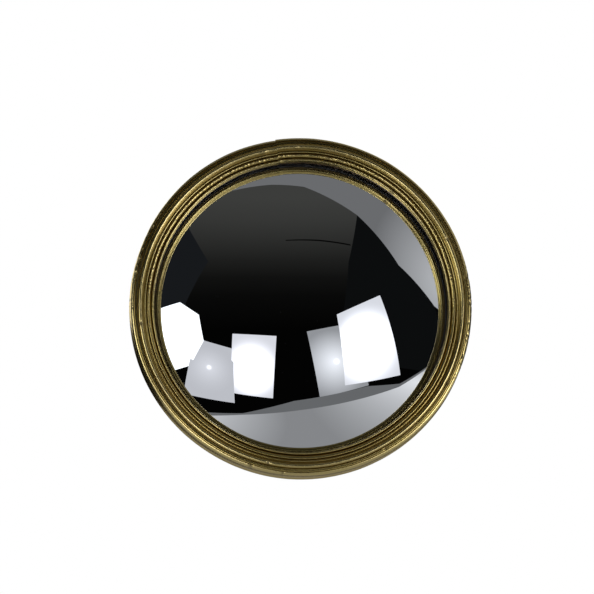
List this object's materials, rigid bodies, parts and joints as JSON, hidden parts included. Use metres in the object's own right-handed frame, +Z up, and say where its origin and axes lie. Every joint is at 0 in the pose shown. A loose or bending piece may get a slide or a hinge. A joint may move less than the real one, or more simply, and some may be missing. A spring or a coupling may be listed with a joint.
{
  "type": "convex wall mirror",
  "caption": "Round wall mirror: a strongly domed glass in a reeded gilt hoop frame, closed by a board held with swivelling turn buttons and hung from a ring plate at the back.",
  "frame": {"origin": "centre of the back, on the wall plane that the frame's rim touches", "axes": "+Z up as the mirror hangs, +Y into the wall, the glass faces -Y, +X to the right seen from the front"},
  "size_m": [0.3, 0.0475, 0.3],
  "materials": {
    "gilt_wood": "antique gold leaf on a dark red-brown ground, rubbed, semi-gloss; bare stained wood at the back",
    "dowel_wood": "raw beech",
    "steel": "dull cold-rolled strip",
    "glazing": "matt dark glazing compound",
    "mirror_glass": "clear polished glass, silvered behind",
    "silvering": "grey backing paint over silver",
    "pressboard": "brown pressboard",
    "hardboard": "hardboard, smooth side out",
    "brass": "aged pressed brass",
    "brass_screws": "turned brass, dulled"
  },
  "bodies": {
    "frame": {"frame_moulding": "gilt_wood", "splice_dowels": "dowel_wood", "splice_fastener": "steel", "glazing_bed": "glazing", "mirror_glass": "mirror_glass", "mirror_silvering": "silvering", "packing_ring": "pressboard", "backing_board": "hardboard", "turn_button_screws": "brass_screws", "hanger_plate": "brass", "hanger_screws": "brass_screws"},
    "button_1": {"turn_button_1": "brass"},
    "button_2": {"turn_button_2": "brass"},
    "button_3": {"turn_button_3": "brass"},
    "button_4": {"turn_button_4": "brass"},
    "button_5": {"turn_button_5": "brass"},
    "button_6": {"turn_button_6": "brass"},
    "ring": {"hanger_ring": "brass"}
  },
  "joints": [
    {"name": "turn_button_1_swivel", "type": "hinge", "parent": "frame", "child": "button_1", "pos_m": [0.06875, -0.00415, 0.11908], "axis": [0, 1, 0], "range_deg": [-90, 90]},
    {"name": "turn_button_2_swivel", "type": "hinge", "parent": "frame", "child": "button_2", "pos_m": [0.1375, -0.00415, 0], "axis": [0, 1, 0], "range_deg": [-90, 90]},
    {"name": "turn_button_3_swivel", "type": "hinge", "parent": "frame", "child": "button_3", "pos_m": [0.06875, -0.00415, -0.11908], "axis": [0, 1, 0], "range_deg": [-90, 90]},
    {"name": "turn_button_4_swivel", "type": "hinge", "parent": "frame", "child": "button_4", "pos_m": [-0.06875, -0.00415, -0.11908], "axis": [0, 1, 0], "range_deg": [-90, 90]},
    {"name": "turn_button_5_swivel", "type": "hinge", "parent": "frame", "child": "button_5", "pos_m": [-0.1375, -0.00415, 0], "axis": [0, 1, 0], "range_deg": [-90, 90]},
    {"name": "turn_button_6_swivel", "type": "hinge", "parent": "frame", "child": "button_6", "pos_m": [-0.06875, -0.00415, 0.11908], "axis": [0, 1, 0], "range_deg": [-90, 90]},
    {"name": "hanger_ring_swing", "type": "hinge", "parent": "frame", "child": "ring", "pos_m": [0, -0.0025, 0.131], "axis": [1, 0, 0], "range_deg": [-5, 180]}
  ]
}
